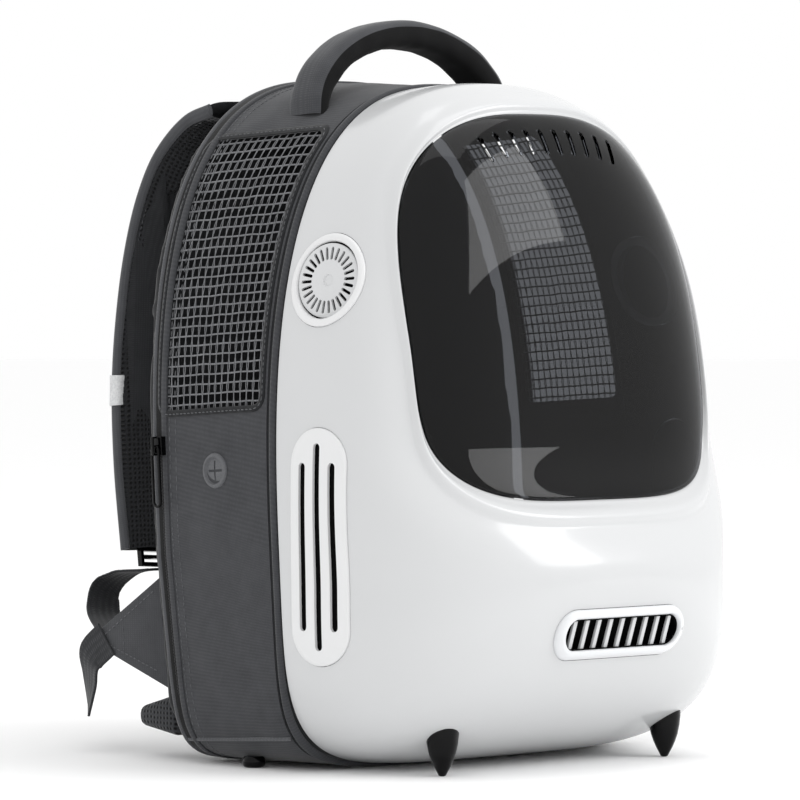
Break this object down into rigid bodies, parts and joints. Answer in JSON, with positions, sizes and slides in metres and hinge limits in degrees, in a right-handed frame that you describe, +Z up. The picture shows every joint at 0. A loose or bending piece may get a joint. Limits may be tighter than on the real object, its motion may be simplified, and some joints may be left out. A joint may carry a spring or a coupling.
{
  "type": "bubble pet carrier backpack",
  "caption": "Pet carrier backpack with a hard white front shell, a smoky clear bubble window, vents, netting in its fabric sides, a top handle and padded shoulder straps.",
  "frame": {"origin": "middle of the footprint at ground level, with the carrier standing on its feet and studs", "axes": "+Z up, the window faces -Y, the shoulder straps are on the +Y side, and -X is the side with the zip and the cable port"},
  "size_m": [0.3362, 0.3874, 0.475],
  "materials": {
    "shell": "glossy white",
    "dome": "smoky, clear and polished",
    "vent_plate": "glossy white",
    "vent_bezel": "glossy silver white",
    "vent_grille": "satin light grey",
    "black_plastic": "glossy black",
    "tape": "woven tape",
    "body_fabric": "dark grey twill",
    "netting": "open net",
    "reflective": "light grey reflective tape",
    "webbing": "woven webbing",
    "soft_plastic": "matte rubber"
  },
  "bodies": {
    "carrier": {"front_shell": "shell", "dome_window": "dome", "round_vent_bezel_left": "vent_plate", "round_vent_bezel_right": "vent_plate", "round_vent_grille_left": "vent_grille", "round_vent_grille_right": "vent_grille", "side_vent_left": "vent_plate", "side_vent_right": "vent_plate", "front_vent_bezel": "vent_bezel", "front_vent_louvres": "vent_grille", "front_vent_tray": "black_plastic", "front_foot_left": "black_plastic", "front_foot_right": "black_plastic", "rear_stud_left": "black_plastic", "rear_stud_right": "black_plastic", "front_binding": "tape", "bag_band": "body_fabric", "base_panel": "body_fabric", "mesh_window_left": "netting", "mesh_window_right": "netting", "rear_piping": "tape", "back_panel": "body_fabric", "carry_handle": "body_fabric", "shoulder_strap_left": "body_fabric", "shoulder_strap_right": "body_fabric", "reflective_band_left": "reflective", "reflective_band_right": "reflective", "strap_anchor_left": "body_fabric", "strap_anchor_right": "body_fabric", "strap_adjuster_left": "black_plastic", "strap_adjuster_right": "black_plastic", "strap_webbing_left": "webbing", "strap_webbing_right": "webbing", "strap_tail_left": "webbing", "strap_tail_right": "webbing", "waist_tab_left": "body_fabric", "waist_tab_right": "body_fabric", "side_zip": "black_plastic", "zip_slider": "black_plastic", "cable_port": "soft_plastic"},
    "zip_pull": {"zip_pull": "black_plastic"}
  },
  "joints": [
    {"name": "zip_pull_swing", "type": "hinge", "parent": "carrier", "child": "zip_pull", "pos_m": [-0.16547, 0.05879, 0.20097], "axis": [0, 0.998, -0.0628], "range_deg": [0, 120]}
  ]
}
